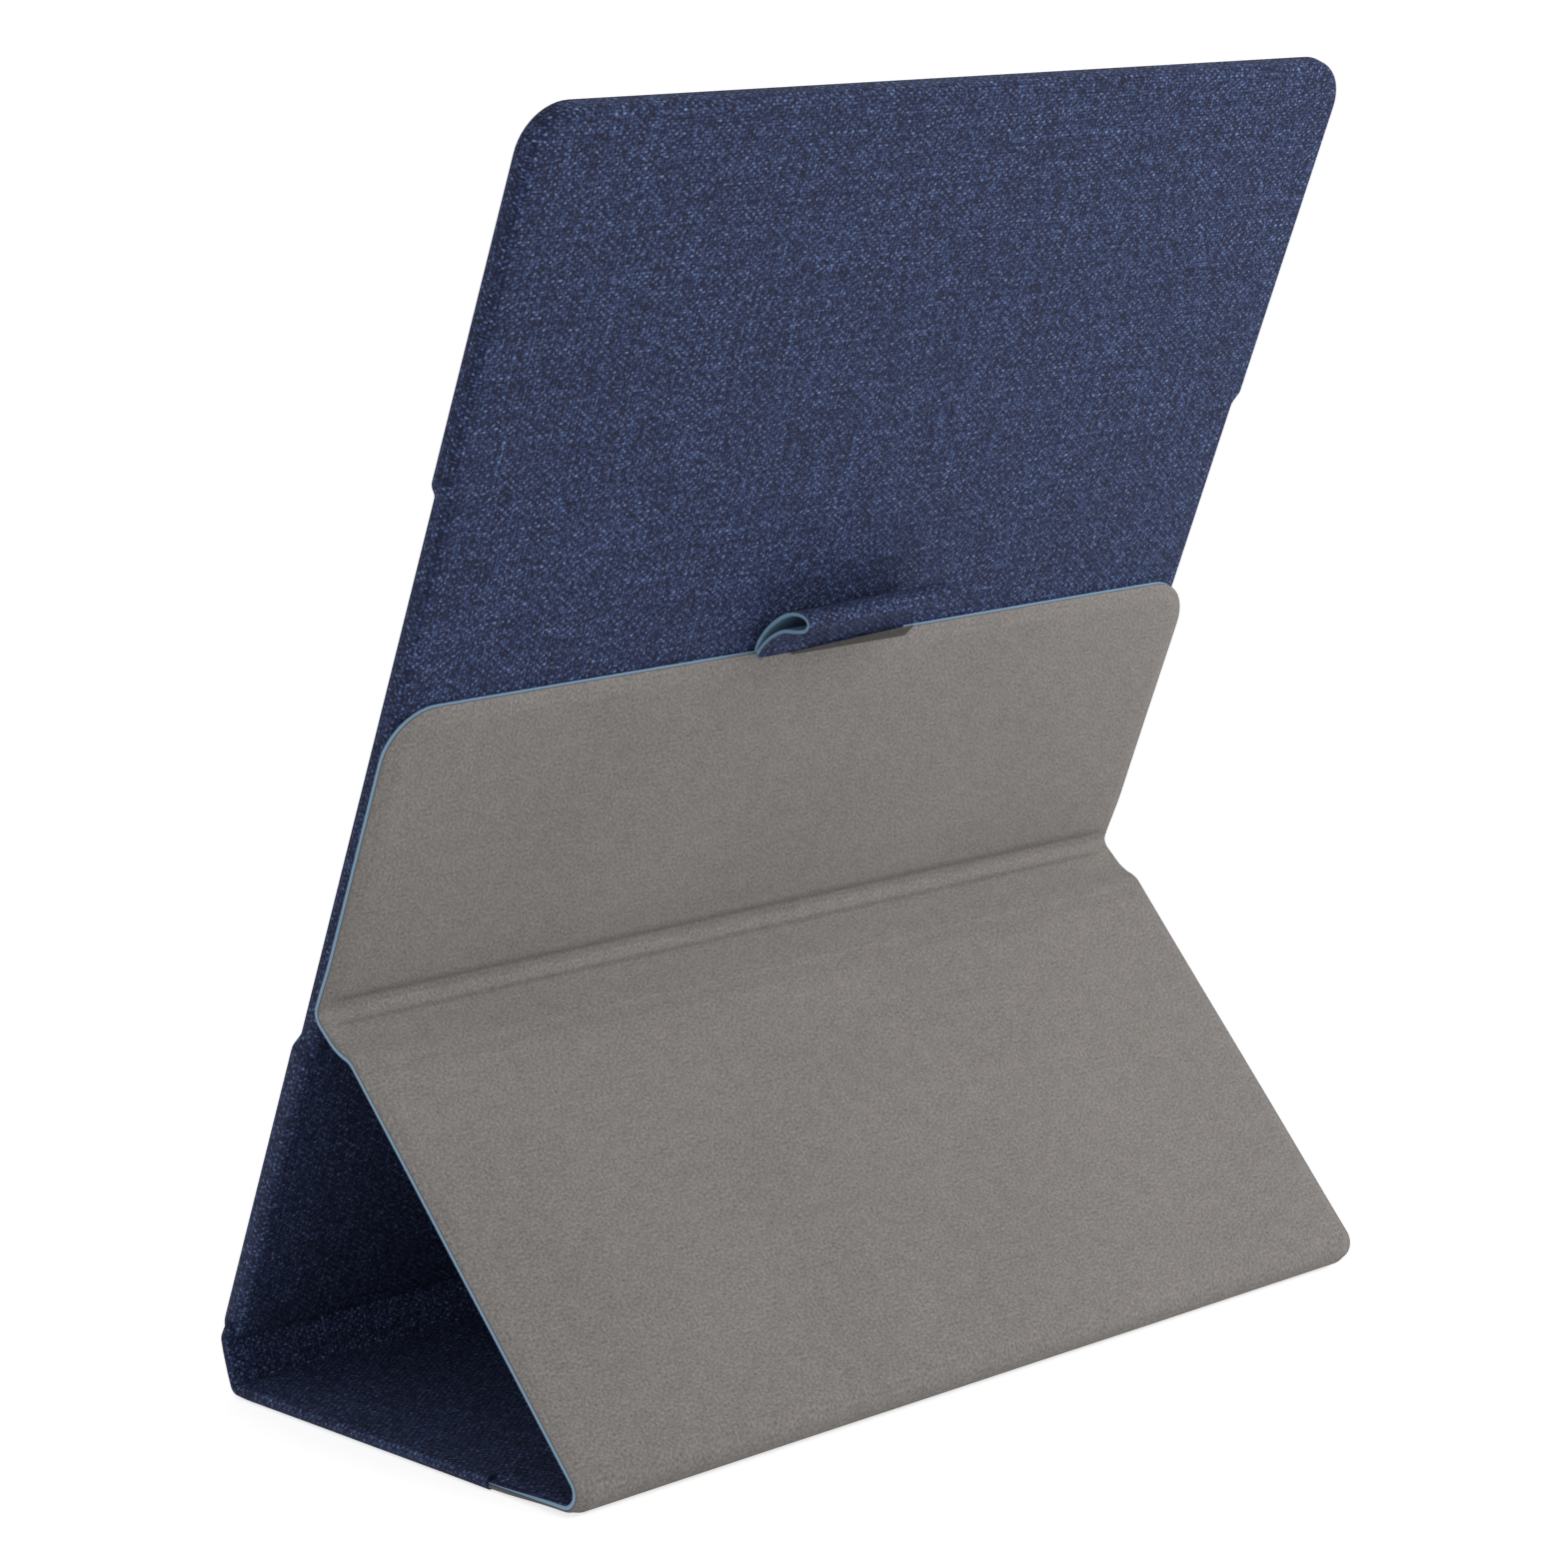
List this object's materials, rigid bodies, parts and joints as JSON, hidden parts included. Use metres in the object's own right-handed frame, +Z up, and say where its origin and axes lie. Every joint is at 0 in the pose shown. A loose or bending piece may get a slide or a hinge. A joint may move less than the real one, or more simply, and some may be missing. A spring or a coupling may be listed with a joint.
{
  "type": "tablet folio case with folding stand cover",
  "caption": "Folio case for a tablet: a padded back panel joined by a spine to a cover that folds into a triangular stand, with a pen loop on the flap.",
  "frame": {"origin": "bottom centre of the standing case", "axes": "+Z up, -Y the side that the tablet faces, X along the folds"},
  "size_m": [0.2012, 0.0939, 0.2296],
  "materials": {
    "skin": "matt heathered navy woven-look skin",
    "lining": "matt warm grey suede-like lining",
    "board": "plain stiffener board",
    "padding": "thin foam sheet",
    "magnet": "plain metal",
    "elastic": "woven elastic band"
  },
  "bodies": {
    "base": {"base_skin": "skin", "base_board": "board", "base_lining": "lining", "tail_skin": "skin", "tail_lining": "lining", "spine_hinge": "skin", "strut_hinge": "skin"},
    "spine": {"spine_skin": "skin", "spine_board": "board", "spine_lining": "lining", "back_hinge": "skin"},
    "back": {"back_skin": "skin", "back_padding": "padding", "back_board": "board", "back_lining": "lining", "back_keeper_left": "magnet", "back_keeper_right": "magnet", "corner_strap_lower_left": "elastic", "corner_strap_lower_right": "elastic", "corner_strap_upper_left": "elastic", "corner_strap_upper_right": "elastic"},
    "strut": {"strut_skin": "skin", "strut_board": "board", "strut_lining": "lining", "low_crease": "skin"},
    "fold": {"fold_skin": "skin", "fold_lining": "lining", "high_crease": "skin"},
    "flap": {"flap_skin": "skin", "flap_board": "board", "flap_lining": "lining", "flap_magnet_left": "magnet", "flap_magnet_right": "magnet", "pen_loop": "skin", "loop_tab": "lining"}
  },
  "joints": [
    {"name": "spine_fold", "type": "hinge", "parent": "base", "child": "spine", "pos_m": [0, -0.04201, 0.00158], "axis": [1, 0, 0], "range_deg": [0, 162.8], "deforming": ["spine_hinge"]},
    {"name": "back_fold", "type": "hinge", "parent": "spine", "child": "back", "pos_m": [0, -0.04479, 0.00993], "axis": [1, 0, 0], "range_deg": [0, 128.3], "deforming": ["back_hinge"]},
    {"name": "strut_fold", "type": "hinge", "parent": "base", "child": "strut", "pos_m": [0, 0.04737, 0.00286], "axis": [-1, 0, 0], "range_deg": [0, 132], "deforming": ["strut_hinge"]},
    {"name": "low_crease_fold", "type": "hinge", "parent": "strut", "child": "fold", "pos_m": [0, -0.01399, 0.07341], "axis": [1, 0, 0], "range_deg": [0, 31.55], "deforming": ["low_crease"]},
    {"name": "high_crease_fold", "type": "hinge", "parent": "fold", "child": "flap", "pos_m": [0, -0.01497, 0.07872], "axis": [1, 0, 0], "range_deg": [0, 31.55], "deforming": ["high_crease"]}
  ],
  "couplings": [
    {"joint": "low_crease_fold", "follows": "strut_fold", "ratio": 0.23902},
    {"joint": "high_crease_fold", "follows": "strut_fold", "ratio": 0.23902}
  ]
}
